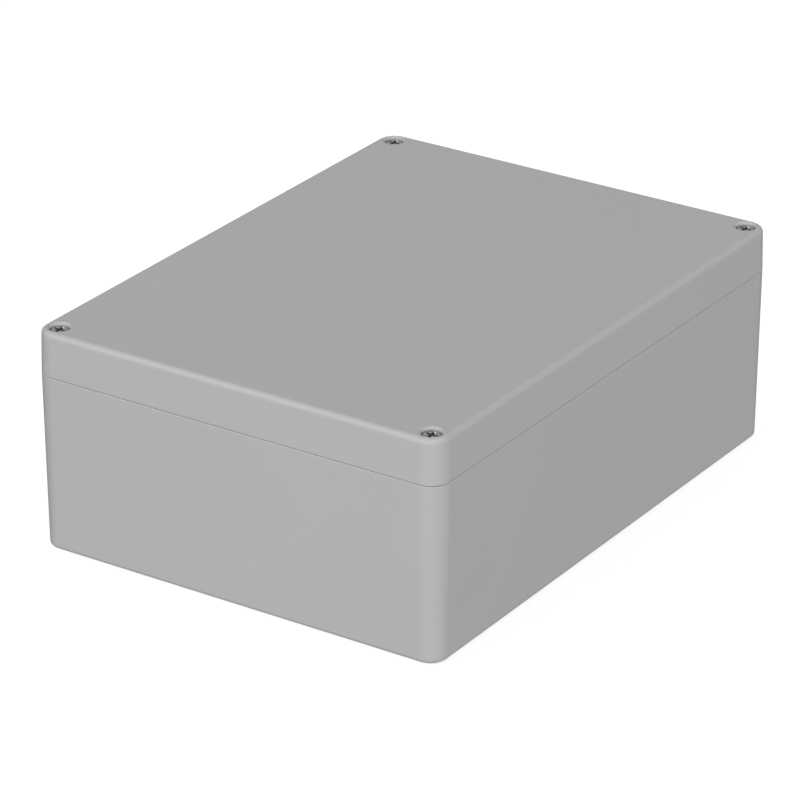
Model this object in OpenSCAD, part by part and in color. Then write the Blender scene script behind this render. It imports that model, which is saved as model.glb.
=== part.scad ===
// Sealed polycarbonate enclosure: a drafted base and a drafted lid that meet in a tongue and
// groove. The seal runs along the walls and detours inside four corner pockets, which hold the
// captive lid screws, their brass inserts and the wall fixing holes.
// The origin is the middle of the underside. Length is along X, width along Y, +Z is up.

/* [Box] */
// Length of the box, measured at its seam
box_l = 200; // [160:1:260]
// Width of the box, measured at its seam
box_w = 150; // [110:1:220]
// Height of the base, from the underside to its rim
base_h = 59.9; // [45:0.1:90]
// Height of the lid, from its lower edge to its top face
lid_h = 15; // [14:0.1:25]
// Open gap of the seam between the base's rim and the lid's edge
seam_gap = 0.1; // [0.1:0.05:0.6]
// Radius of the upright corners at the seam
corner_r = 6.6; // [4:0.1:9]

/* [Walls and edges] */
// Wall of the base at its rim
base_wall = 3.2; // [3:0.1:4.5]
// Floor of the base
floor_t = 3; // [2:0.1:5]
// Top plate of the lid
plate_t = 3; // [2.4:0.1:4]
// Draft of the base's walls in degrees: it narrows downwards
base_draft = 0.65; // [0.2:0.05:1]
// Draft of the lid's walls in degrees: it narrows upwards
lid_draft = 1.2; // [0.2:0.05:1.5]
// Radius of the lid's top edge
top_edge_r = 1.85; // [0.5:0.05:2.5]
// Radius of the base's bottom edge
bottom_edge_r = 1.5; // [0.5:0.05:2.5]
// Radius of the base's outer edge at the seam
rim_edge_r = 0.5; // [0.1:0.05:0.8]
// Radius of the lid's outer edge at the seam
lid_edge_r = 0.2; // [0.1:0.05:0.4]
// Fillet between the base's floor and its walls
floor_fillet_r = 2; // [0.5:0.1:3]
// Fillet between the lid's plate and its walls
plate_fillet_r = 1; // [0.5:0.1:2]

/* [Seal] */
// Leg of the lid outside the groove
outer_leg_t = 1.3; // [1:0.05:2]
// Width of the groove in the lid
groove_w = 2.2; // [1.8:0.05:3]
// Depth of the groove in the lid
groove_depth = 4; // [3.5:0.1:6]
// Leg of the lid inside the groove
inner_leg_t = 1.1; // [0.8:0.05:2]
// Thickness of the tongue at its root
tongue_t = 1.2; // [0.8:0.05:1.4]
// Narrowing of the tongue on each side, from its root to its tip
tongue_taper = 0.15; // [0.05:0.05:0.3]
// Height of the gasket in the groove
gasket_h = 2; // [1.4:0.1:2.5]
// Gap between the gasket and each side of the groove
gasket_side_gap = 0.05; // [0.02:0.01:0.2]
// Gap between the tongue's tip and the gasket
gasket_tip_gap = 0.1; // [0.05:0.05:0.5]

/* [Corner pockets] */
// Length of a corner pocket, from the short outer face to the seal
pocket_l = 21.4; // [19:0.1:30]
// Width of a corner pocket, from the long outer face to the seal
pocket_w = 13; // [12.5:0.1:18]
// Outer wall beside a corner pocket, at the rim
pocket_wall = 3; // [2.4:0.1:3.4]
// Floor of a corner pocket
pocket_floor_t = 4; // [3:0.1:8]
// Radius of a pocket's upright corners
pocket_r = 2; // [1:0.1:3]

/* [Lid screws] */
// Distance of a screw's axis from both outer faces at the seam
screw_inset = 6.2; // [5.8:0.1:7]
// Diameter of the screw head
head_d = 6; // [5.6:0.1:7]
// Height of the screw head
head_h = 2.6; // [2:0.1:3.5]
// Rounding of the head's upper edge
head_edge_r = 0.5; // [0.1:0.05:0.8]
// Depth of the head's top below the lid's top face
head_sink = 0.8; // [0.4:0.1:2]
// Radial gap between the head and its counterbore
head_gap = 0.2; // [0.15:0.05:0.6]
// Chamfer that opens the counterbore towards the lid's top face
counterbore_edge = 0.7; // [0.2:0.05:0.8]
// Thread diameter of the screw
thread_d = 4; // [3:0.1:4.4]
// Length of the thread
thread_l = 9.5; // [6:0.1:14]
// Chamfer at the screw's tip
tip_chamfer = 0.6; // [0.2:0.1:1]
// Diameter of the slim neck between the head and the thread
neck_d = 2.9; // [2.2:0.1:3]
// Thickness of the collar that holds the screw captive in the lid
collar_t = 1.5; // [1:0.1:3]
// Radial gap between the neck and the collar
collar_gap = 0.3; // [0.1:0.05:0.4]
// Radial gap between the thread and the lid's hole
hole_gap = 0.3; // [0.15:0.05:0.4]
// Wall of the lid's screw columns round the counterbore
lid_column_wall = 1.8; // [1:0.1:2]
// Span of the cross recess
recess_span = 4.2; // [3:0.1:4.6]
// Width of the cross recess's slots
recess_w = 0.9; // [0.5:0.05:1.2]
// Depth of the cross recess's slots
recess_slot_depth = 1.1; // [0.6:0.1:1.6]
// Diameter of the tapered well in the recess's middle
recess_well_d = 2.2; // [1.4:0.1:2.8]
// Depth of the well
recess_depth = 1.6; // [1:0.1:2]

/* [Threaded inserts] */
// Outer diameter of a brass insert
insert_d = 5.6; // [5.4:0.1:6]
// Length of a brass insert
insert_l = 10; // [6:0.1:12]
// Depth of an insert's top below the base's rim
insert_sink = 0.5; // [0.2:0.1:1.5]
// Radial bite of an insert into its column
insert_bite = 0.1; // [0.05:0.05:0.2]
// Radial gap between the thread and the insert's bore
thread_gap = 0.05; // [0.02:0.01:0.1]
// Depth of the groove round an insert's middle
insert_groove = 0.4; // [0.2:0.05:0.5]
// Width of the groove's floor
insert_groove_w = 1; // [0.5:0.1:2]
// Wall of the base's screw columns round an insert
insert_wall = 1.6; // [1.2:0.1:2]
// Depth of the open bore below an insert, for the screw's tip
tip_bore_depth = 5; // [1:0.5:10]

/* [Wall fixing] */
// Diameter of the wall fixing holes
wall_hole_d = 4.5; // [3:0.1:6]

/* [Board pillars] */
// Diameter of a pillar's top
pillar_d = 7.6; // [6:0.1:10]
// Height of the pillars above the floor
pillar_h = 8; // [4:0.5:20]
// Fillet round a pillar's foot
pillar_fillet_r = 1; // [0.5:0.1:2]
// Pilot hole in each pillar
pilot_d = 3.2; // [2:0.1:4]
// Depth of the pilot holes
pilot_depth = 9; // [3:0.5:10]
// Clear space between a pillar's top and the wall at the box's short end
pillar_end_gap = 8; // [4:0.5:30]
// Clear space between a pillar's top and the corner pocket's wall
pillar_pocket_gap = 5; // [2:0.5:20]

/* [Hidden] */
$fn = 64;
// Overrun of a cutting shape past the face that it opens
over = 1;
// Overlap of a shape with the body that it grows out of
root = 0.5;

// Heights of the lid's edge, its top face and its plate's underside
lid_z = base_h + seam_gap;
top_z = lid_z + lid_h;
under_z = top_z - plate_t;

// How far a drafted wall leans over a height, to a thousandth so that its neighbours meet it exactly
function lean(h, draft) = round(1000 * h * tan(draft)) / 1000;
base_lean = lean(base_h, base_draft);
lid_lean = lean(lid_h, lid_draft);

// The core line is the seal path moved inwards until its outer corners are sharp. Profiles that
// follow the path are drawn outwards from the core line. Its distance is rounded up to a whole
// step, so that the straight and the turned lengths of the path meet exactly.
lid_wall = outer_leg_t + groove_w + inner_leg_t;
path_step = 0.05;
path_least = max(base_wall + base_lean + floor_fillet_r, lid_wall + lid_lean + plate_fillet_r);
path_r = ceil(path_least / path_step) * path_step;

// The tongue stands in the middle of the groove, below the gasket
groove_top_z = lid_z + groove_depth;
gasket_z = groove_top_z - gasket_h;
tongue_tip_z = gasket_z - gasket_tip_gap;
tongue_in = outer_leg_t + (groove_w - tongue_t) / 2;

// Levels and holes along a screw's axis
head_top_z = top_z - head_sink;
head_z = head_top_z - head_h;
thread_top_z = base_h - insert_sink / 2;
tip_z = thread_top_z - thread_l;
insert_z = base_h - insert_sink - insert_l;
counterbore_r = head_d / 2 + head_gap;
lid_column_r = counterbore_r + lid_column_wall;
base_column_r = insert_d / 2 + insert_wall;
bore_r = thread_d / 2 + thread_gap;

// The wall fixing hole is in the middle of the well that the pocket leaves beside its column
wall_hole_in_x = (screw_inset + base_column_r + pocket_l) / 2;
wall_hole_in_y = (pocket_wall + pocket_w) / 2;

// The pillars stand clear of the end wall and of the corner pockets
pillar_foot_r = pillar_d / 2 + lean(pillar_h, base_draft);
pillar_in_x = base_wall + pillar_end_gap + pillar_d / 2;
pillar_in_y = pocket_w + base_wall + pillar_pocket_gap + pillar_d / 2;

// Colours of the pieces
plastic_grey = [0.66, 0.66, 0.65];
lid_grey = [0.68, 0.68, 0.67];
gasket_black = [0.12, 0.12, 0.12];
steel = [0.62, 0.62, 0.6];
brass = [0.78, 0.62, 0.32];

// Shared shapes

// Quarter of a disc on the +X side, above or below its centre
module quarter_disc(r, above) {
    intersection() {
        circle(r);
        translate([0, above ? 0 : -2 * r]) square(2 * r);
    }
}

// Upright profile from the axis out to a leaning wall, with rounded lower and upper edges
module leaning_profile(low_r, high_r, h, low_edge, high_edge) {
    low_c = [low_r - low_edge, low_edge];
    high_c = [high_r - high_edge, h - high_edge];
    polygon([
        [0, 0],
        [low_c.x, 0],
        low_c,
        [low_r, low_edge],
        [high_r, h - high_edge],
        high_c,
        [high_c.x, h],
        [0, h]
    ]);
    if (low_edge > 0)
        translate(low_c) quarter_disc(low_edge, false);
    if (high_edge > 0)
        translate(high_c) quarter_disc(high_edge, true);
}

// Rectangle with rounded corners, from one corner at the origin
module rounded_rect(l, w, r) {
    translate([r, 0]) square([l - 2 * r, w]);
    translate([0, r]) square([l, w - 2 * r]);
    for (x = [r, l - r], y = [r, w - r])
        translate([x, y]) circle(r);
}

// Copies in all four corners: the child is drawn in the corner at +X +Y
module in_each_corner() {
    for (sx = [0, 1], sy = [0, 1])
        mirror([sx, 0, 0]) mirror([0, sy, 0]) children();
}

// Copies at the four places that lie a given distance in from the outer faces
module at_inset(in_x, in_y) {
    for (sx = [-1, 1], sy = [-1, 1])
        translate([sx * (box_l / 2 - in_x), sy * (box_w / 2 - in_y), 0]) children();
}

// Length of a profile along X, with the profile reaching towards +Y
module run_x(from, to) {
    translate([from, 0, 0]) rotate([90, 0, 90]) linear_extrude(to - from) children();
}

// Length of a profile along Y, with the profile reaching towards +X
module run_y(from, to) {
    translate([0, to, 0]) rotate([90, 0, 0]) linear_extrude(to - from) children();
}

// Block of the box's outline whose corners and sides follow one upright profile
module outline_block(h) {
    cx = box_l / 2 - corner_r;
    cy = box_w / 2 - corner_r;
    translate([-cx, -cy, 0]) cube([2 * cx, 2 * cy, h]);
    in_each_corner() {
        translate([cx, cy, 0]) rotate_extrude(angle = 90) children();
        translate([0, cy, 0]) run_x(0, cx) children();
        translate([cx, 0, 0]) run_y(0, cy) children();
    }
}

// One profile all the way along the seal path, drawn outwards from the core line
module along_seal() {
    side_x = box_l / 2 - path_r;
    side_y = box_w / 2 - path_r;
    neck_x = side_x - pocket_l;
    neck_y = side_y - pocket_w;
    turn = pocket_r + path_r;
    in_each_corner() {
        translate([0, side_y, 0]) run_x(0, neck_x) children();
        translate([neck_x, side_y, 0]) rotate_extrude(angle = 90) children();
        translate([neck_x, 0, 0]) run_y(neck_y + turn, side_y) children();
        translate([neck_x + turn, neck_y + turn, 0]) rotate(180)
            rotate_extrude(angle = 90) translate([turn, 0]) mirror([1, 0]) children();
        translate([0, neck_y, 0]) run_x(neck_x + turn, side_x) children();
        translate([side_x, neck_y, 0]) rotate_extrude(angle = 90) children();
        translate([side_x, 0, 0]) run_y(0, neck_y) children();
    }
}

// Profile band between two distances in from the seal path's outer side
module seal_band(in_from, in_to, z_from, z_to) {
    translate([path_r - in_to, z_from]) square([in_to - in_from, z_to - z_from]);
}

// Hollow inside the seal path, closed and filleted at z = 0 and open at z = h
module hollow(h, closed_wall, open_wall, fillet) {
    side_x = box_l / 2 - path_r;
    side_y = box_w / 2 - path_r;
    neck_x = side_x - pocket_l;
    neck_y = side_y - pocket_w;
    turn = pocket_r + path_r;
    along_seal() leaning_profile(path_r - closed_wall, path_r - open_wall, h, fillet, 0);
    translate([-side_x, -neck_y, 0]) cube([2 * side_x, 2 * neck_y, h]);
    translate([-neck_x, -side_y, 0]) cube([2 * neck_x, 2 * side_y, h]);
    // The round turns of the path leave a sliver in front of the pockets' inner corners
    in_each_corner()
        translate([neck_x + turn, neck_y + turn, 0]) rotate(180)
            rotate_extrude(angle = 90) translate([turn, 0]) square([turn / 2, h]);
}

// Corner pocket between the outer walls and the seal, round a screw column
module pocket(column_r, h) {
    linear_extrude(h)
        difference() {
            translate([box_l / 2 - pocket_l, box_w / 2 - pocket_w])
                rounded_rect(pocket_l - pocket_wall, pocket_w - pocket_wall, pocket_r);
            translate([box_l / 2 - screw_inset, box_w / 2 - screw_inset]) circle(column_r);
        }
}

// Sub-parts

// Lower half of the moulding, with its tongue, screw columns and board pillars
module base() {
    color(plastic_grey)
        difference() {
            union() {
                difference() {
                    outline_block(base_h)
                        leaning_profile(corner_r - base_lean, corner_r, base_h, bottom_edge_r, rim_edge_r);
                    translate([0, 0, floor_t]) base_hollow();
                    translate([0, 0, pocket_floor_t])
                        in_each_corner() pocket(base_column_r, base_h - pocket_floor_t + over);
                }
                along_seal() tongue_profile();
                at_inset(pillar_in_x, pillar_in_y)
                    translate([0, 0, floor_t]) pillar();
            }
            at_inset(screw_inset, screw_inset) insert_hole();
            at_inset(wall_hole_in_x, wall_hole_in_y)
                translate([0, 0, -over]) cylinder(h = pocket_floor_t + 2 * over, d = wall_hole_d);
            at_inset(pillar_in_x, pillar_in_y)
                translate([0, 0, floor_t + pillar_h - pilot_depth])
                    cylinder(h = pilot_depth + over, d = pilot_d);
        }
}

// Inside of the base: its walls lean as the outside does
module base_hollow() {
    depth = base_h - floor_t;
    closed_wall = base_wall + lean(depth, base_draft);
    hollow(depth + over, closed_wall, base_wall - lean(over, base_draft), floor_fillet_r);
}

// Board pillar on the floor: it narrows upwards and has a fillet round its foot
module pillar() {
    fillet_c = [pillar_foot_r + pillar_fillet_r, pillar_fillet_r];
    rotate_extrude()
        difference() {
            polygon([
                [0, -root],
                [fillet_c.x, -root],
                fillet_c,
                [pillar_foot_r, fillet_c.y],
                [pillar_d / 2, pillar_h],
                [0, pillar_h]
            ]);
            translate(fillet_c) circle(pillar_fillet_r);
        }
}

// Upright tongue on the base's rim
module tongue_profile() {
    outer = path_r - tongue_in;
    polygon([
        [outer - tongue_t, base_h - root],
        [outer, base_h - root],
        [outer, base_h],
        [outer - tongue_taper, tongue_tip_z],
        [outer - tongue_t + tongue_taper, tongue_tip_z],
        [outer - tongue_t, base_h]
    ]);
}

// Stepped hole in a base column: the insert's seat, then room for the screw's tip
module insert_hole() {
    translate([0, 0, insert_z])
        cylinder(h = insert_l + insert_sink + over, r = insert_d / 2 - insert_bite);
    translate([0, 0, insert_z - tip_bore_depth])
        cylinder(h = tip_bore_depth + over, r = bore_r);
}

// Upper half of the moulding, with the groove and the captive screw holes
module lid() {
    color(lid_grey)
        difference() {
            union() {
                difference() {
                    translate([0, 0, lid_z])
                        outline_block(lid_h)
                            leaning_profile(corner_r, corner_r - lid_lean, lid_h, lid_edge_r, top_edge_r);
                    translate([0, 0, under_z]) mirror([0, 0, 1]) lid_hollow();
                    translate([0, 0, lid_z - over])
                        in_each_corner() pocket(lid_column_r, under_z - lid_z + over);
                }
                // The columns reach across the seam and stand on the base's columns
                at_inset(screw_inset, screw_inset)
                    translate([0, 0, base_h]) cylinder(h = seam_gap + root, r = base_column_r);
            }
            along_seal()
                seal_band(outer_leg_t, outer_leg_t + groove_w, lid_z - over, groove_top_z);
            at_inset(screw_inset, screw_inset) screw_hole();
        }
}

// Inside of the lid, drawn from the plate's underside
module lid_hollow() {
    depth = under_z - lid_z;
    closed_wall = lid_wall + lean(depth, lid_draft);
    hollow(depth + over, closed_wall, lid_wall - lean(over, lid_draft), plate_fillet_r);
}

// Counterbore, captive collar and clearance hole through a lid column
module screw_hole() {
    hole_r = thread_d / 2 + hole_gap;
    collar_r = neck_d / 2 + collar_gap;
    collar_z = head_z - collar_t;
    rotate_extrude()
        polygon([
            [0, base_h - over],
            [hole_r, base_h - over],
            [hole_r, collar_z],
            [collar_r, collar_z],
            [collar_r, head_z],
            [counterbore_r, head_z],
            [counterbore_r, top_z - counterbore_edge],
            [counterbore_r + counterbore_edge + over, top_z + over],
            [0, top_z + over]
        ]);
}

// Foam gasket in the groove: flat against its roof, round towards the tongue
module gasket() {
    width = groove_w - 2 * gasket_side_gap;
    in_from = outer_leg_t + gasket_side_gap;
    round_r = width / 2;
    color(gasket_black)
        along_seal() {
            seal_band(in_from, in_from + width, gasket_z + round_r, groove_top_z);
            translate([path_r - in_from - round_r, gasket_z + round_r])
                intersection() {
                    circle(round_r);
                    translate([-width, -width]) square([2 * width, width]);
                }
        }
}

// Captive screw standing on its own axis
module lid_screw() {
    color(steel) {
        difference() {
            translate([0, 0, head_z])
                rotate_extrude() leaning_profile(head_d / 2, head_d / 2, head_h, 0, head_edge_r);
            translate([0, 0, head_top_z - recess_depth]) cross_recess();
        }
        translate([0, 0, thread_top_z - root])
            cylinder(h = head_z - thread_top_z + 2 * root, d = neck_d);
        rotate_extrude()
            polygon([
                [0, tip_z],
                [thread_d / 2 - tip_chamfer, tip_z],
                [thread_d / 2, tip_z + tip_chamfer],
                [thread_d / 2, thread_top_z - tip_chamfer],
                [thread_d / 2 - tip_chamfer, thread_top_z],
                [0, thread_top_z]
            ]);
    }
}

// Two crossing slots with a tapered well in their middle
module cross_recess() {
    for (turn = [0, 90])
        rotate(turn)
            translate([-recess_span / 2, -recess_w / 2, recess_depth - recess_slot_depth])
                cube([recess_span, recess_w, recess_slot_depth + over]);
    cylinder(h = recess_depth, d1 = recess_w, d2 = recess_well_d);
}

// Screw in the corner given by the signs of its X and Y
module screw_at(sx, sy) {
    translate([sx * (box_l / 2 - screw_inset), sy * (box_w / 2 - screw_inset), 0]) lid_screw();
}

module lid_screw_front_left() { screw_at(-1, -1); }
module lid_screw_front_right() { screw_at(1, -1); }
module lid_screw_rear_left() { screw_at(-1, 1); }
module lid_screw_rear_right() { screw_at(1, 1); }

// Four brass inserts, each with a groove round its middle that the plastic grips
module threaded_inserts() {
    outer_r = insert_d / 2;
    groove_r = outer_r - insert_groove;
    floor_from = (insert_l - insert_groove_w) / 2;
    floor_to = (insert_l + insert_groove_w) / 2;
    color(brass)
        at_inset(screw_inset, screw_inset)
            translate([0, 0, insert_z])
                rotate_extrude()
                    polygon([
                        [bore_r, 0],
                        [outer_r, 0],
                        [outer_r, floor_from - insert_groove],
                        [groove_r, floor_from],
                        [groove_r, floor_to],
                        [outer_r, floor_to + insert_groove],
                        [outer_r, insert_l],
                        [bore_r, insert_l]
                    ]);
}

base();
lid();
gasket();
lid_screw_front_left();
lid_screw_front_right();
lid_screw_rear_left();
lid_screw_rear_right();
threaded_inserts();
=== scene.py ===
# %% [markdown]
# # A sealed polycarbonate enclosure
# The object is a grey moulded box: a base, a lid with four captive screws, a gasket in the seam
# and a brass insert under each screw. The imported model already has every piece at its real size
# and place. This lesson gives the moulded pieces their finish, and makes the screws and the
# inserts again with the threads and recesses that only show up close.

# %% Load the frame
import math

import bmesh
import bpy
from mathutils import Matrix, Vector


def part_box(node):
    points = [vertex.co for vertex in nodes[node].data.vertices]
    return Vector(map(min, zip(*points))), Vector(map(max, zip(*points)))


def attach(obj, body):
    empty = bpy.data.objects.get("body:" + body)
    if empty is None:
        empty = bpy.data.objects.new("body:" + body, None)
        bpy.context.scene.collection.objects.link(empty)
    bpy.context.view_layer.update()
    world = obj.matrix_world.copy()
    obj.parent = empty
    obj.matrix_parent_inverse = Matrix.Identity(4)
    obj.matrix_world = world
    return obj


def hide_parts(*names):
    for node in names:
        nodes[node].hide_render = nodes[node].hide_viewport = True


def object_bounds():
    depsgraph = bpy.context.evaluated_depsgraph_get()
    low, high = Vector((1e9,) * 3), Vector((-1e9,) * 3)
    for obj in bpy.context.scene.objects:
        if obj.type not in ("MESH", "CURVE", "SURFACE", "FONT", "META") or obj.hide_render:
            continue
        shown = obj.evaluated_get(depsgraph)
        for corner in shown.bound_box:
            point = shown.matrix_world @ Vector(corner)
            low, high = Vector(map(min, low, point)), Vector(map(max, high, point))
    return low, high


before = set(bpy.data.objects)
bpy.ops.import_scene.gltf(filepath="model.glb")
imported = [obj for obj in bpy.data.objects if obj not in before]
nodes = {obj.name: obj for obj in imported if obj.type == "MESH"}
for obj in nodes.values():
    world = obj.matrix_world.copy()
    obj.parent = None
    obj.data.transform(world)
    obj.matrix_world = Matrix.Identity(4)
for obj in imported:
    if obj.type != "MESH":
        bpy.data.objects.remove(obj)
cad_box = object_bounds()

MM = 0.001
scene = bpy.context.scene
box_size = cad_box[1] - cad_box[0]
box_middle = (cad_box[0] + cad_box[1]) / 2
print("nodes:", sorted(nodes))
print("size in mm:", [round(side / MM, 2) for side in box_size])

# %% [markdown]
# ## The camera
# The picture looks at one corner of the box, from a little above, through a long lens. A long
# lens keeps the edges nearly parallel, which is how product pictures avoid a stretched look. A
# camera without perspective would be simpler, but the far edges really are a little shorter
# here, so a perspective camera stands at the distance that gives the same taper. It aims a few
# millimetres beside the middle of the box, so that no lens shift is needed.

# %% Place the camera
VIEW_AZIMUTH = math.radians(-56.54)
VIEW_ELEVATION = math.radians(24.99)
VIEW_DISTANCE = 1428.6 * MM
FOCAL_LENGTH = 199.86
SENSOR_WIDTH = 36.0
AIM_RIGHT = -3.64 * MM
AIM_UP = -5.72 * MM


def view_axes(azimuth, elevation):
    """The right, up and backward directions of a camera that looks from an angle."""
    back = Vector((
        math.sin(azimuth) * math.cos(elevation),
        -math.cos(azimuth) * math.cos(elevation),
        math.sin(elevation),
    ))
    right = Vector((math.cos(azimuth), math.sin(azimuth), 0))
    return right, back.cross(right), back


right, up, back = view_axes(VIEW_AZIMUTH, VIEW_ELEVATION)
eye = box_middle + back * VIEW_DISTANCE + right * AIM_RIGHT + up * AIM_UP
camera_data = bpy.data.cameras.new("camera")
camera_data.lens = FOCAL_LENGTH
camera_data.sensor_width = SENSOR_WIDTH
camera_data.sensor_fit = "HORIZONTAL"
camera = bpy.data.objects.new("camera", camera_data)
turn = Matrix((right, up, back)).transposed().to_4x4()
camera.matrix_world = Matrix.Translation(eye) @ turn
scene.collection.objects.link(camera)
scene.camera = camera
print("camera stands at", [round(v, 3) for v in eye], "m")

# %% [markdown]
# ## The light
# Two large square lamps and a pale sky light the box. The front lamp stands low, a little to the
# right of the camera, and makes the rounded corner the brightest part of the walls. Seen from
# behind, so low a lamp would glare on the lid, so it is kept out of reflections. The left lamp
# stands higher and lights the short face and the edge of the lid above it. The sky is a plain
# white above the horizon. Below it the sky is less than half as bright, like what a dull table
# throws back, so the rounded lower edges of the box turn darker. One small lamp would be
# simpler, but it gives hard shadows that a plain studio picture hasn't. The picture is shown
# without a film curve, so that greys stay the greys of the surfaces.

# %% Paint the sky
SKY_ABOVE = 0.71
SKY_BELOW = 0.283
HORIZON_BLUR = 0.05
WHITE = (1, 1, 1, 1)


def add_node(tree, kind, **settings):
    """A node of a kind. Settings that are inputs are set there, and the rest on the node."""
    node = tree.nodes.new(kind)
    for name, value in settings.items():
        socket = name.replace("_", " ").title()
        if socket in node.inputs:
            node.inputs[socket].default_value = value
        else:
            setattr(node, name, value)
    return node


scene.view_settings.view_transform = "Standard"
world = bpy.data.worlds.new("studio")
world.use_nodes = True
scene.world = world
sky_tree = world.node_tree
sky = sky_tree.nodes["Background"]
sky.inputs["Color"].default_value = WHITE
direction = add_node(sky_tree, "ShaderNodeTexCoord")
height = add_node(sky_tree, "ShaderNodeSeparateXYZ")
shade = add_node(
    sky_tree, "ShaderNodeMapRange",
    from_min=-HORIZON_BLUR, from_max=HORIZON_BLUR, to_min=SKY_BELOW, to_max=SKY_ABOVE,
)
sky_tree.links.new(direction.outputs["Generated"], height.inputs["Vector"])
sky_tree.links.new(height.outputs["Z"], shade.inputs["Value"])
sky_tree.links.new(shade.outputs["Result"], sky.inputs["Strength"])
print("sky:", SKY_ABOVE, "above and", SKY_BELOW, "below the horizon")

# %% Hang the lamps
FRONT_AZIMUTH = math.radians(-46)
FRONT_ELEVATION = math.radians(12)
FRONT_POWER = 345.0
LEFT_AZIMUTH = math.radians(-127)
LEFT_ELEVATION = math.radians(36)
LEFT_POWER = 138.0
LAMP_DISTANCE = 6.0
LAMP_SIZE = 2.4


def soft_lamp(name, azimuth, elevation, power):
    """A square lamp that faces the box from an angle, measured as the camera's is."""
    data = bpy.data.lights.new(name, "AREA")
    data.shape = "SQUARE"
    data.size = LAMP_SIZE
    data.energy = power
    lamp = bpy.data.objects.new(name, data)
    towards_lamp = view_axes(azimuth, elevation)[2]
    lamp.location = box_middle + towards_lamp * LAMP_DISTANCE
    lamp.rotation_euler = towards_lamp.to_track_quat("Z", "Y").to_euler()
    lamp.visible_camera = False
    scene.collection.objects.link(lamp)
    print(name, "at", [round(v, 2) for v in lamp.location], "m")
    return lamp


front_lamp = soft_lamp("front_lamp", FRONT_AZIMUTH, FRONT_ELEVATION, FRONT_POWER)
front_lamp.visible_glossy = False
soft_lamp("left_lamp", LEFT_AZIMUTH, LEFT_ELEVATION, LEFT_POWER)

# %% [markdown]
# ## Helpers for the finishes
# Every finish in this lesson is a node material: a few computed textures feed the sockets of one
# main shader. Pictures could be laid over the pieces instead, but computed textures stay sharp at
# any distance and need no unwrapping. The helpers make a material, a noise that is fixed to the
# piece, and a number or a colour that follows such a noise. A noise seldom leaves the middle of
# its range, so both stretch that middle.

# %% Make the helpers
NOISE_LOW = 0.3
NOISE_HIGH = 0.7


def new_material(name):
    """A node material, with its tree and its main shader at hand."""
    material = bpy.data.materials.new(name)
    material.use_nodes = True
    tree = material.node_tree
    return material, tree, tree.nodes["Principled BSDF"]


def noise_on(tree, scale, detail=2.0):
    """A noise texture that is fixed to the piece, with features of about 1 / scale metres."""
    place = add_node(tree, "ShaderNodeTexCoord")
    noise = add_node(tree, "ShaderNodeTexNoise", scale=scale, detail=detail)
    tree.links.new(place.outputs["Object"], noise.inputs["Vector"])
    return noise.outputs["Fac"]


def spread(tree, value, low, high):
    """A number that goes from low to high as a noise rises."""
    spread_node = add_node(
        tree, "ShaderNodeMapRange",
        from_min=NOISE_LOW, from_max=NOISE_HIGH, to_min=low, to_max=high,
    )
    tree.links.new(value, spread_node.inputs["Value"])
    return spread_node.outputs["Result"]


def shade_between(tree, value, first, second, low=NOISE_LOW, high=NOISE_HIGH):
    """A colour that goes from the first to the second as a value rises from low to high."""
    ramp = add_node(tree, "ShaderNodeValToRGB")
    for element, position, colour in zip(ramp.color_ramp.elements, (low, high), (first, second)):
        element.position = position
        element.color = (*colour, 1)
    tree.links.new(value, ramp.inputs["Fac"])
    return ramp.outputs["Color"]


print("a noise is stretched from", NOISE_LOW, "to", NOISE_HIGH)

# %% [markdown]
# ## The floor
# The box stands on a plain white light table: a pane of frosted plastic that is lit from below.
# Such a table keeps the background of a product picture white and takes away nearly all of the
# shadow. Its light would also wash out the lower edges of the box, which a photographer prevents
# with cards. Here the floor is hidden from the rays that light the box, and the lower half of the
# sky stands for the light that comes back from a table. One large square of mesh is enough,
# because the long lens never sees its edge. The pane has a faint unevenness, so that it isn't a
# flat colour.

# %% Finish the pane
PANE_GLOW = 0.73
PANE_ROUGHNESS = 0.9
PANE_SPECULAR = 0.1
PANE_CLOUD_SCALE = 4.0
PANE_DARK = (0.345, 0.345, 0.345)
PANE_PALE = (0.355, 0.355, 0.355)


def lit_pane():
    """Frosted white plastic that glows a little, with a faint unevenness."""
    material, tree, shader = new_material("lit_pane")
    shader.inputs["Roughness"].default_value = PANE_ROUGHNESS
    shader.inputs["Specular IOR Level"].default_value = PANE_SPECULAR
    shader.inputs["Emission Color"].default_value = WHITE
    shader.inputs["Emission Strength"].default_value = PANE_GLOW
    clouds = noise_on(tree, PANE_CLOUD_SCALE)
    colour = shade_between(tree, clouds, PANE_DARK, PANE_PALE)
    tree.links.new(colour, shader.inputs["Base Color"])
    return material


pane = lit_pane()
print(pane.name, "glows with strength", PANE_GLOW)

# %% Lay the floor
FLOOR_HALF = 6.0
FLOOR_DROP = 0.2 * MM


def link_mesh(name, bm, material):
    """Makes an object of a bmesh, with one material."""
    mesh = bpy.data.meshes.new(name)
    bm.to_mesh(mesh)
    bm.free()
    mesh.materials.append(material)
    thing = bpy.data.objects.new(name, mesh)
    scene.collection.objects.link(thing)
    return thing


bm = bmesh.new()
floor_corners = [(-1, -1), (1, -1), (1, 1), (-1, 1)]
bm.faces.new([bm.verts.new((x * FLOOR_HALF, y * FLOOR_HALF, 0)) for x, y in floor_corners])
floor = link_mesh("floor", bm, pane)
floor.location.z = cad_box[0].z - FLOOR_DROP
floor.visible_diffuse = False
floor.visible_glossy = False
floor.visible_shadow = False
print("floor:", 2 * FLOOR_HALF, "m square")

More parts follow.
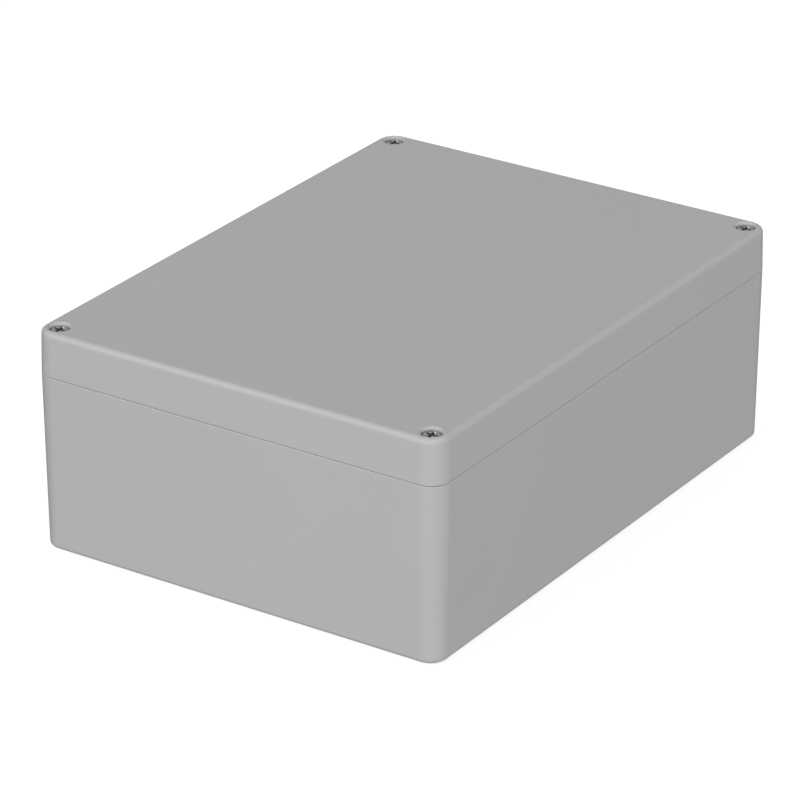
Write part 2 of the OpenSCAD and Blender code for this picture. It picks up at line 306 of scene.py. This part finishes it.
# %% [markdown]
# ## The moulded plastic
# Base and lid are injection moulded from the same grey polycarbonate. The mould is spark eroded,
# which leaves a matt skin with a grain of a few tenths of a millimetre, and the plastic's
# pigment is never perfectly even. The shapes in the frame already have their exact curves, so
# only a material is added. Its noise is measured on the piece, and so the grain keeps its size
# on every face. A bevel node softens the light along the edges that the mould leaves sharp, as a
# real moulding does. The seam where the two halves meet gets painted shade, a thin darker line.
# It could be painted by height, but an occlusion node with a very short reach finds such gaps
# by itself and darkens the colour there, and the line goes away where the lid is lifted off.

# %% Finish the moulded plastic
PLASTIC_GREY = 0.315
PLASTIC_IOR = 1.58
MOTTLE = 0.01
MOTTLE_SCALE = 30.0
MOTTLE_DETAIL = 4.0
SHEEN_SCALE = 900.0
SHEEN_ROUGHNESS = (0.58, 0.62)
GRAIN_SCALE = 2600.0
GRAIN_HEIGHT = 0.02 * MM
GRAIN_STRENGTH = 0.5
MOULDED_EDGE = 0.15 * MM
EDGE_SAMPLES = 4
# The colour and the reach of the painted shade in the seam.
SEAM_SHADE_GREY = (0.15, 0.15, 0.148)
SEAM_SHADE_REACH = 0.3 * MM
HOLLOW_SAMPLES = 8


def grey_polycarbonate():
    """Matt moulded plastic: grained, slightly mottled, with painted shade in its seam and softened
    edges.
    """
    material, tree, shader = new_material("grey_polycarbonate")
    shader.inputs["IOR"].default_value = PLASTIC_IOR
    dark = [PLASTIC_GREY * (1 - MOTTLE)] * 3
    pale = [PLASTIC_GREY * (1 + MOTTLE)] * 3
    colour = shade_between(tree, noise_on(tree, MOTTLE_SCALE, MOTTLE_DETAIL), dark, pale)
    # Painted shade: the occlusion node darkens the colour in the gap of the seam.
    seam_gap = add_node(
        tree, "ShaderNodeAmbientOcclusion", samples=HOLLOW_SAMPLES, distance=SEAM_SHADE_REACH,
    )
    seam_shaded = add_node(tree, "ShaderNodeMixRGB", color1=(*SEAM_SHADE_GREY, 1))
    tree.links.new(seam_gap.outputs["AO"], seam_shaded.inputs["Fac"])
    tree.links.new(colour, seam_shaded.inputs["Color2"])
    tree.links.new(seam_shaded.outputs["Color"], shader.inputs["Base Color"])
    sheen = spread(tree, noise_on(tree, SHEEN_SCALE), *SHEEN_ROUGHNESS)
    tree.links.new(sheen, shader.inputs["Roughness"])
    edge = add_node(tree, "ShaderNodeBevel", samples=EDGE_SAMPLES, radius=MOULDED_EDGE)
    grain = add_node(tree, "ShaderNodeBump", strength=GRAIN_STRENGTH, distance=GRAIN_HEIGHT)
    tree.links.new(noise_on(tree, GRAIN_SCALE), grain.inputs["Height"])
    tree.links.new(edge.outputs["Normal"], grain.inputs["Normal"])
    tree.links.new(grain.outputs["Normal"], shader.inputs["Normal"])
    return material


def refinish(node_name, material):
    """Gives a carried-over CAD node a new material."""
    mesh = nodes[node_name].data
    mesh.materials.clear()
    mesh.materials.append(material)
    print(node_name, "has", len(mesh.polygons), "triangles in", material.name)


plastic = grey_polycarbonate()
for node_name in ("base", "lid"):
    refinish(node_name, plastic)

# %% [markdown]
# ## The gasket
# A cord of dark foam rubber lies in the lid's groove and is squeezed by the base's tongue. The
# frame has its true path and section, so it too only needs a material. Foam has closed cells a
# few tenths of a millimetre wide: a cell texture gives their shape, and painted shade darkens
# the hollows of the cells, so the thin walls between them look a little paler.

# %% Finish the gasket
CELL_SCALE = 2800.0
CELL_DEPTH = 0.06 * MM
CELL_STRENGTH = 0.6
# The colour of the painted shade in the cells' hollows, and of the walls between them.
FOAM_SHADED_HOLLOW = (0.018, 0.018, 0.019)
FOAM_WALL = (0.042, 0.042, 0.044)
FOAM_ROUGHNESS = (0.8, 0.95)
FOAM_SPECULAR = 0.25


def foam_rubber():
    """Dark closed-cell foam."""
    material, tree, shader = new_material("foam_rubber")
    shader.inputs["Specular IOR Level"].default_value = FOAM_SPECULAR
    place = add_node(tree, "ShaderNodeTexCoord")
    cells = add_node(tree, "ShaderNodeTexVoronoi", scale=CELL_SCALE)
    tree.links.new(place.outputs["Object"], cells.inputs["Vector"])
    distance = cells.outputs["Distance"]
    # Painted shade: the colour is darkest in the middle of each cell's hollow.
    colour = shade_between(tree, distance, FOAM_SHADED_HOLLOW, FOAM_WALL)
    tree.links.new(colour, shader.inputs["Base Color"])
    tree.links.new(spread(tree, distance, *FOAM_ROUGHNESS), shader.inputs["Roughness"])
    pores = add_node(tree, "ShaderNodeBump", strength=CELL_STRENGTH, distance=CELL_DEPTH)
    tree.links.new(distance, pores.inputs["Height"])
    tree.links.new(pores.outputs["Normal"], shader.inputs["Normal"])
    return material


refinish("gasket", foam_rubber())

# %% [markdown]
# ## The screw's head
# A lid screw has a low round head with a cross-shaped recess. The recess could be cut out with a
# boolean, but that leaves long thin faces that shade badly. Here every ring of the head has as
# many points as the outline of the cross, and the rings are joined from the recess's bottom up
# its tapered walls, across the slightly domed top, round the edge and down the side. The result
# is one clean skin of four-sided faces.

# %% Draw the cross and the rings
RECESS_END_STEPS = 2
RECESS_SIDE_STEPS = 6
WINGS = 4


def cross_outline(half_span, half_width):
    """Points round a cross, wing by wing, always the same number of them."""
    middle = Vector((half_span, 0))
    corner = Vector((half_span, half_width))
    inner = Vector((half_width, half_width))
    wing_end = [middle.lerp(corner, t / RECESS_END_STEPS) for t in range(RECESS_END_STEPS)]
    wing_side = [corner.lerp(inner, t / RECESS_SIDE_STEPS) for t in range(RECESS_SIDE_STEPS + 1)]
    eighth = wing_end + wing_side
    quarter = eighth + [Vector((p.y, p.x)) for p in reversed(eighth[1:-1])]
    points = []
    for wing in range(WINGS):
        spin = Matrix.Rotation(2 * math.pi * wing / WINGS, 2)
        points += [spin @ p for p in quarter]
    return points


def at_height(points, z):
    """Lifts flat points to a height."""
    return [Vector((p.x, p.y, z)) for p in points]


def circle(angles, radius, z):
    """A ring of points at the given angles."""
    return [Vector((radius * math.cos(a), radius * math.sin(a), z)) for a in angles]


def join_rings(bm, rings):
    """Makes four-sided faces between each ring and the next."""
    rows = [[bm.verts.new(p) for p in ring] for ring in rings]
    for low, high in zip(rows, rows[1:]):
        for i in range(len(low)):
            j = (i + 1) % len(low)
            bm.faces.new((low[i], low[j], high[j], high[i]))


print("a cross has", len(cross_outline(2, 1)), "points")

# %% [markdown]
# ## The screw's thread
# A thread is a ridge that climbs by one pitch in each turn. A simple stack of grooves would look
# the same from far away, but the climb shows as soon as a screw is backed out. A grid is laid
# round the shaft whose rows climb with the thread, so that the crests follow its lines exactly.
# Points beyond either end are pulled back to that end, where merging makes them one ring.

# %% Wind a thread
# Each row of the ridge is a share of the pitch and a height, which is 0 at the root and 1 at the
# crest.
RIDGE = ((0.0, 1.0), (0.125, 1.0), (0.4375, 0.0), (0.6875, 0.0))
MERGE_GAP = 0.002 * MM


def wind_thread(bm, angles, low_z, high_z, pitch, radius_at):
    """A climbing grid between two heights. radius_at gives the radius for a ridge and a z."""
    columns = list(angles) + [angles[0] + 2 * math.pi]
    turns = math.ceil((high_z - low_z) / pitch) + 1
    rows = []
    for turn in range(-1, turns):
        for phase, ridge in RIDGE:
            row = []
            for angle in columns:
                climb = low_z + pitch * (turn + phase + (angle - angles[0]) / (2 * math.pi))
                z = min(max(climb, low_z), high_z)
                radius = radius_at(ridge, z)
                row.append(bm.verts.new((radius * math.cos(angle), radius * math.sin(angle), z)))
            rows.append(row)
    for low, high in zip(rows, rows[1:]):
        for i in range(len(columns) - 1):
            bm.faces.new((low[i], low[i + 1], high[i + 1], high[i]))


def close_up(bm):
    """Merges points that meet, drops faces of no size, and turns all faces outwards."""
    bmesh.ops.remove_doubles(bm, verts=bm.verts, dist=MERGE_GAP)
    bmesh.ops.dissolve_degenerate(bm, edges=bm.edges, dist=MERGE_GAP)
    bmesh.ops.recalc_face_normals(bm, faces=bm.faces)
    open_edges = [e for e in bm.edges if len(e.link_faces) != 2]
    print("open edges:", len(open_edges), "faces:", len(bm.faces))


print("a turn of thread has", len(RIDGE), "rows")

# %% [markdown]
# ## The whole screw
# The screw is captive: a thin neck joins head and thread, so that the thread can hang in the
# lid's hole when it is let go. The box of the CAD screw gives the head's width and both ends,
# and the lengths in between are the part's own. One function makes all four screws.

# %% Measure the screw
HEAD_HEIGHT = 2.6 * MM
HEAD_EDGE = 0.5 * MM
HEAD_CROWN = 0.12 * MM
NECK_RADIUS = 1.45 * MM
NECK_FILLET = 0.3 * MM
THREAD_RADIUS = 2.0 * MM
THREAD_LENGTH = 9.5 * MM
THREAD_PITCH = 0.7 * MM
THREAD_DEPTH = 0.4 * MM
TIP_CHAMFER = 0.6 * MM

screw_low, screw_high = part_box("lid_screw_front_left")
head_radius = (screw_high.x - screw_low.x) / 2
screw_length = screw_high.z - screw_low.z
print("screw in mm:", round(screw_length / MM, 2), "long, head", round(2 * head_radius / MM, 2))

# %% Shape the recess and the head
RECESS_SPAN = 4.2 * MM
RECESS_WIDTH = 1.15 * MM
RECESS_DEPTH = 1.9 * MM
RECESS_FLOOR_SPAN = 2.6 * MM
RECESS_FLOOR_WIDTH = 0.8 * MM
RECESS_POINT = 0.3 * MM
RECESS_RIM = 0.06 * MM
TOP_RING_SHARES = (0.35, 0.7)
ROUND_STEPS = 6

round_angles = [math.radians(90 * step / ROUND_STEPS) for step in range(ROUND_STEPS + 1)]


def recess_rings():
    """From the recess's pointed bottom up to its rim, with the head's top at height 0."""
    floor_cross = cross_outline(RECESS_FLOOR_SPAN / 2, RECESS_FLOOR_WIDTH / 2)
    wall_cross = cross_outline(RECESS_SPAN / 2, RECESS_WIDTH / 2)
    rim_cross = cross_outline(RECESS_SPAN / 2 + RECESS_RIM, RECESS_WIDTH / 2 + RECESS_RIM)
    point = [Vector((0, 0))] * len(floor_cross)
    return [
        at_height(point, -RECESS_DEPTH - RECESS_POINT),
        at_height(floor_cross, -RECESS_DEPTH),
        at_height(wall_cross, -RECESS_RIM),
        at_height(rim_cross, 0),
    ]


def head_rings(angles, rim):
    """From the recess's rim across the domed top, round the edge and down to the neck."""
    flat_radius = head_radius - HEAD_EDGE
    shoulder = circle(angles, flat_radius, -HEAD_CROWN)
    top = []
    for share in TOP_RING_SHARES:
        ring = [a.lerp(b, share) for a, b in zip(rim, shoulder)]
        drops = [HEAD_CROWN * (p.xy.length / flat_radius) ** 2 for p in ring]
        top.append([Vector((p.x, p.y, -drop)) for p, drop in zip(ring, drops)])
    edge = []
    under = []
    for a in round_angles:
        edge_z = -HEAD_CROWN - HEAD_EDGE * (1 - math.cos(a))
        edge.append(circle(angles, flat_radius + HEAD_EDGE * math.sin(a), edge_z))
        under_z = -HEAD_HEIGHT - NECK_FILLET * (1 - math.cos(a))
        under.append(circle(angles, NECK_RADIUS + NECK_FILLET * (1 - math.sin(a)), under_z))
    return top + edge + [circle(angles, head_radius, -HEAD_HEIGHT)] + under


print("rings in the recess:", len(recess_rings()))

# %% Join head, neck and thread
def screw_thread_radius(ridge, z):
    """The thread's radius, fading out at the neck and chamfered at the tip."""
    tip = -screw_length
    ridge_radius = THREAD_RADIUS - THREAD_DEPTH * (1 - ridge)
    at_tip = THREAD_RADIUS - TIP_CHAMFER + (z - tip)
    at_neck = NECK_RADIUS + (tip + THREAD_LENGTH - z)
    return min(ridge_radius, at_tip, at_neck)


def captive_screw_mesh():
    """The screw's mesh, with its axis on Z and its head's top at height 0."""
    bm = bmesh.new()
    recess = recess_rings()
    angles = [math.atan2(p.y, p.x) % (2 * math.pi) for p in recess[-1]]
    thread_top = -screw_length + THREAD_LENGTH
    neck_end = circle(angles, NECK_RADIUS, thread_top)
    join_rings(bm, recess + head_rings(angles, recess[-1]) + [neck_end])
    wind_thread(bm, angles, -screw_length, thread_top, THREAD_PITCH, screw_thread_radius)
    tip = circle(angles, THREAD_RADIUS - TIP_CHAMFER, -screw_length)
    bm.faces.new([bm.verts.new(p) for p in tip])
    close_up(bm)
    return bm


print("turns of thread on a screw:", round(THREAD_LENGTH / THREAD_PITCH, 1))

# %% [markdown]
# ## The screw's steel
# The screws are plain steel, turned on a lathe. Turning leaves fine rings round the axis, which a
# wave texture draws as a shallow relief. Handling leaves patches that are a little duller, so a
# noise changes how rough the metal is. The recess and the grooves between the threads get
# painted shade. An occlusion node finds such hollows by itself and darkens the colour there, so
# the shade needs no mask of its own and follows any change of shape.

# %% Finish the steel
# The steel's colour on open faces, and the darker colour of the painted shade in its hollows.
OPEN_STEEL = (0.35, 0.347, 0.337)
SHADED_STEEL = (0.22, 0.218, 0.21)
HOLLOW_SHADE_REACH = 1.2 * MM
HOLLOW_SHADE_FULL = 0.5
HOLLOW_SHADE_GONE = 0.95
HANDLING_SCALE = 700.0
HANDLING_DETAIL = 3.0
STEEL_ROUGHNESS = (0.42, 0.56)
TURNING_SCALE = 900.0
TURNING_HEIGHT = 0.01 * MM
TURNING_STRENGTH = 0.15


def turned_steel():
    """Plain steel with lathe rings, dull patches and painted shade in its hollows."""
    material, tree, shader = new_material("turned_steel")
    shader.inputs["Metallic"].default_value = 1.0
    # Painted shade: the occlusion node darkens the colour in the recess and between the threads.
    hollows = add_node(
        tree, "ShaderNodeAmbientOcclusion",
        samples=HOLLOW_SAMPLES, only_local=True, distance=HOLLOW_SHADE_REACH,
    )
    openness = hollows.outputs["AO"]
    colour = shade_between(tree, openness, SHADED_STEEL, OPEN_STEEL, HOLLOW_SHADE_FULL, HOLLOW_SHADE_GONE)
    tree.links.new(colour, shader.inputs["Base Color"])
    patches = noise_on(tree, HANDLING_SCALE, HANDLING_DETAIL)
    tree.links.new(spread(tree, patches, *STEEL_ROUGHNESS), shader.inputs["Roughness"])
    place = add_node(tree, "ShaderNodeTexCoord")
    rings = add_node(
        tree, "ShaderNodeTexWave",
        wave_type="RINGS", rings_direction="Z", scale=TURNING_SCALE,
    )
    tree.links.new(place.outputs["Object"], rings.inputs["Vector"])
    marks = add_node(tree, "ShaderNodeBump", strength=TURNING_STRENGTH, distance=TURNING_HEIGHT)
    tree.links.new(rings.outputs["Fac"], marks.inputs["Height"])
    tree.links.new(marks.outputs["Normal"], shader.inputs["Normal"])
    return material


steel = turned_steel()
print(steel.name, "has", len(steel.node_tree.nodes), "nodes")

# %% [markdown]
# ## Placing the four screws
# Each screw takes its place from the box of its CAD node, rides on that node's body and stands
# for that node. Edges sharper than a set angle are marked, so that the threads stay crisp while
# the head's rounded edge shades smoothly.

# %% Place the screws
SHARP_ANGLE = math.radians(32)


def shade_crisp(thing):
    """Shades a mesh smooth, apart from its sharp edges."""
    thing.data.shade_smooth()
    thing.data.set_sharp_from_angle(angle=SHARP_ANGLE)


for corner in ("front_left", "front_right", "rear_left", "rear_right"):
    node_name = "lid_screw_" + corner
    low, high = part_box(node_name)
    screw = link_mesh("captive_screw_" + corner, captive_screw_mesh(), steel)
    screw.location = ((low.x + high.x) / 2, (low.y + high.y) / 2, high.z)
    shade_crisp(screw)
    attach(screw, node_name)
    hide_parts(node_name)
    print(screw.name, "at", [round(v / MM, 2) for v in screw.location], "mm")

# %% [markdown]
# ## The brass inserts
# A threaded brass bush is pressed into the top of each corner column. Its knurled bands bite into
# the plastic and a plain groove between them is filled by it. The knurl could be a bump, but a
# bush is also seen by itself when someone opens the model, so its teeth are geometry: the radius
# of each ring rises and falls round the axis, and the teeth lean one way in the lower band and
# the other way in the upper band.

# %% Shape the insert's outside
INSERT_COLUMNS = 96
TEETH = 24
TOOTH_HEIGHT = 0.1 * MM
TOOTH_LEAN = math.radians(12)
BAND_ROWS = 6
WAIST_DEPTH = 0.4 * MM
WAIST_LENGTH = 1.6 * MM
END_CHAMFER = 0.3 * MM

insert_low, insert_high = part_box("threaded_inserts")
insert_length = insert_high.z - insert_low.z
screw_x = abs(screw_high.x - head_radius)
screw_y = abs(screw_high.y - head_radius)
insert_radius = insert_high.x - screw_x
insert_angles = [2 * math.pi * i / INSERT_COLUMNS for i in range(INSERT_COLUMNS)]


def toothed_ring(z, lean):
    """A ring whose radius rises to a tooth and falls again."""
    ring = []
    for angle in insert_angles:
        phase = (angle + lean) * TEETH / (2 * math.pi)
        tooth = abs(2 * (phase % 1.0) - 1)
        radius = insert_radius - TOOTH_HEIGHT * (1 - tooth)
        ring.append(Vector((radius * math.cos(angle), radius * math.sin(angle), z)))
    return ring


def toothed_band(start, length, direction):
    """The rings of one knurled band, whose teeth lean in a direction as they rise."""
    shares = [row / BAND_ROWS for row in range(BAND_ROWS + 1)]
    return [toothed_ring(start + length * s, direction * TOOTH_LEAN * s) for s in shares]


def insert_outer_rings():
    """From the lower chamfer, up two toothed bands with a waist between them, to the upper one."""
    band = (insert_length - WAIST_LENGTH) / 2 - END_CHAMFER
    waist_low = END_CHAMFER + band
    waist_high = waist_low + WAIST_LENGTH
    end_radius = insert_radius - TOOTH_HEIGHT - END_CHAMFER
    waist_radius = insert_radius - WAIST_DEPTH
    return [
        circle(insert_angles, end_radius, 0),
        *toothed_band(END_CHAMFER, band, 1),
        circle(insert_angles, waist_radius, waist_low),
        circle(insert_angles, waist_radius, waist_high),
        *toothed_band(waist_high, band, -1),
        circle(insert_angles, end_radius, insert_length),
    ]


print("insert in mm:", round(insert_length / MM, 2), "long, radius", round(insert_radius / MM, 2))

# %% Cut the insert's bore
BORE_RADIUS = 2.05 * MM
BORE_THREAD_DEPTH = 0.3 * MM
LEAD_IN = 0.35 * MM


def bore_radius(ridge, z):
    """The bore's radius: a thread cut outwards, opened by a lead-in at both ends."""
    from_end = min(z, insert_length - z)
    return max(BORE_RADIUS + BORE_THREAD_DEPTH * (1 - ridge), BORE_RADIUS + LEAD_IN - from_end)


def add_threaded_insert(bm, x, y, z):
    """Adds one insert with its foot at a place: toothed outside, end faces and threaded bore."""
    part = bmesh.new()
    mouth = BORE_RADIUS + LEAD_IN
    bottom_mouth = circle(insert_angles, mouth, 0)
    top_mouth = circle(insert_angles, mouth, insert_length)
    join_rings(part, [bottom_mouth] + insert_outer_rings() + [top_mouth])
    wind_thread(part, insert_angles, 0, insert_length, THREAD_PITCH, bore_radius)
    close_up(part)
    bmesh.ops.translate(part, verts=part.verts, vec=(x, y, z))
    piece = bpy.data.meshes.new("insert_part")
    part.to_mesh(piece)
    part.free()
    bm.from_mesh(piece)
    bpy.data.meshes.remove(piece)


print("bore in mm: radius", round(BORE_RADIUS / MM, 2))

# %% [markdown]
# ## The brass finish and the set of four
# Brass is a warm metal that tarnishes in patches. The four bushes never move against each other
# and are one node of the frame, so they are one object here too, riding on the base.

# %% Place the inserts
TARNISHED_BRASS = (0.50, 0.32, 0.12)
BRIGHT_BRASS = (0.68, 0.47, 0.20)
TARNISH_SCALE = 450.0
TARNISH_DETAIL = 3.0
BRASS_ROUGHNESS = (0.42, 0.28)


def turned_brass():
    """Warm brass with duller, browner patches."""
    material, tree, shader = new_material("turned_brass")
    shader.inputs["Metallic"].default_value = 1.0
    patches = noise_on(tree, TARNISH_SCALE, TARNISH_DETAIL)
    colour = shade_between(tree, patches, TARNISHED_BRASS, BRIGHT_BRASS)
    tree.links.new(colour, shader.inputs["Base Color"])
    tree.links.new(spread(tree, patches, *BRASS_ROUGHNESS), shader.inputs["Roughness"])
    return material


bm = bmesh.new()
for x in (-screw_x, screw_x):
    for y in (-screw_y, screw_y):
        add_threaded_insert(bm, x, y, insert_low.z)
inserts = link_mesh("brass_inserts", bm, turned_brass())
shade_crisp(inserts)
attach(inserts, "base")
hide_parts("threaded_inserts")
print(inserts.name, "has", len(inserts.data.polygons), "faces")
